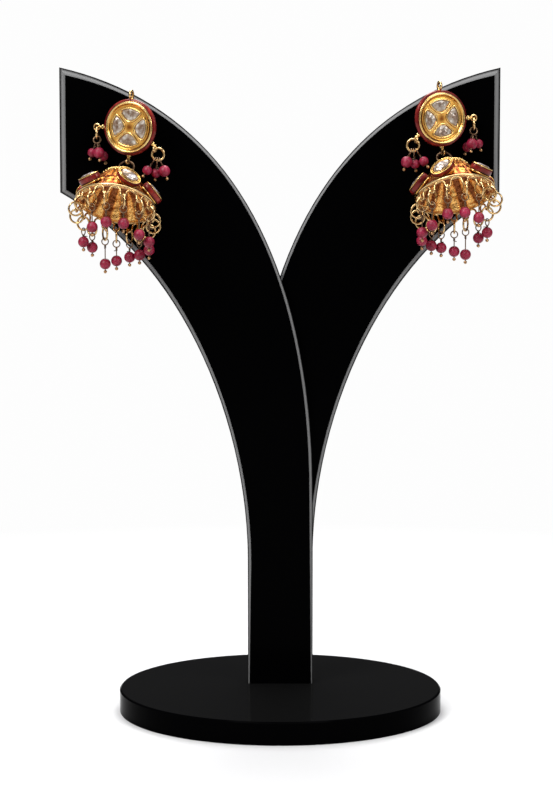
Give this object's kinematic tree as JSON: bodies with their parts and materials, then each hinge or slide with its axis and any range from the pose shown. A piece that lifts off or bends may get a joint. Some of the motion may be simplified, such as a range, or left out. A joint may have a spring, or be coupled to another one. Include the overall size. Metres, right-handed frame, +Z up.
{
  "type": "pair of jhumka earrings on a display stand",
  "caption": "Bell-shaped drop earrings with stone-set studs and petals and a beaded fringe, hanging on a Y-shaped stand with a round base.",
  "frame": {"origin": "centre of the base's underside, on the floor", "axes": "+Z up, the stand's face and the studs look along -Y, +X to the viewer's right"},
  "size_m": [0.1152, 0.085, 0.169],
  "materials": {
    "black_acrylic": "polished black sheet",
    "gold": "yellow gold plating",
    "pale_gold": "pale gold plating",
    "red_enamel": "glossy maroon enamel",
    "foil_stone": "foil-backed clear stone",
    "dark_wire": "darkened wire",
    "raspberry_bead": "semi-matte raspberry bead"
  },
  "bodies": {
    "root": {"stand_base": "black_acrylic", "front_arm": "black_acrylic", "rear_arm": "black_acrylic", "left_stud_case": "gold", "left_stud_enamel": "red_enamel", "left_ear_post": "gold", "left_stud_stone_1": "foil_stone", "left_stud_stone_2": "foil_stone", "left_stud_stone_3": "foil_stone", "left_stud_stone_4": "foil_stone", "left_outer_ring": "pale_gold", "left_outer_pins": "dark_wire", "left_outer_beads": "raspberry_bead", "left_inner_ring": "pale_gold", "left_inner_pins": "dark_wire", "left_inner_beads": "raspberry_bead", "right_stud_case": "gold", "right_stud_enamel": "red_enamel", "right_ear_post": "gold", "right_stud_stone_1": "foil_stone", "right_stud_stone_2": "foil_stone", "right_stud_stone_3": "foil_stone", "right_stud_stone_4": "foil_stone", "right_outer_ring": "pale_gold", "right_outer_pins": "dark_wire", "right_outer_beads": "raspberry_bead", "right_inner_ring": "pale_gold", "right_inner_pins": "dark_wire", "right_inner_beads": "raspberry_bead"},
    "left_link": {"left_link_ring": "dark_wire"},
    "left_bell": {"left_bell": "gold", "left_petal_enamel": "red_enamel", "left_petal_stone_1": "foil_stone", "left_petal_stone_2": "foil_stone", "left_petal_stone_3": "foil_stone", "left_petal_stone_4": "foil_stone", "left_petal_stone_5": "foil_stone", "left_petal_stone_6": "foil_stone", "left_fringe_rings": "pale_gold", "left_fringe_pins": "dark_wire", "left_fringe_beads": "raspberry_bead"},
    "right_link": {"right_link_ring": "dark_wire"},
    "right_bell": {"right_bell": "gold", "right_petal_enamel": "red_enamel", "right_petal_stone_1": "foil_stone", "right_petal_stone_2": "foil_stone", "right_petal_stone_3": "foil_stone", "right_petal_stone_4": "foil_stone", "right_petal_stone_5": "foil_stone", "right_petal_stone_6": "foil_stone", "right_fringe_rings": "pale_gold", "right_fringe_pins": "dark_wire", "right_fringe_beads": "raspberry_bead"}
  },
  "joints": [
    {"name": "left_swing", "type": "hinge", "parent": "root", "child": "left_link", "pos_m": [-0.03957, -0.00117, 0.14469], "axis": [-1, 0, 0], "range_deg": [0, 24]},
    {"name": "left_sway", "type": "hinge", "parent": "left_link", "child": "left_bell", "pos_m": [-0.04094, -0.00329, 0.14217], "axis": [0, 1, 0], "range_deg": [-4, 8]},
    {"name": "right_swing", "type": "hinge", "parent": "root", "child": "right_link", "pos_m": [0.04238, 0.00188, 0.14699], "axis": [-1, 0, 0], "range_deg": [0, 24]},
    {"name": "right_sway", "type": "hinge", "parent": "right_link", "child": "right_bell", "pos_m": [0.04374, -0.00024, 0.14447], "axis": [0, 1, 0], "range_deg": [-8, 4]}
  ]
}
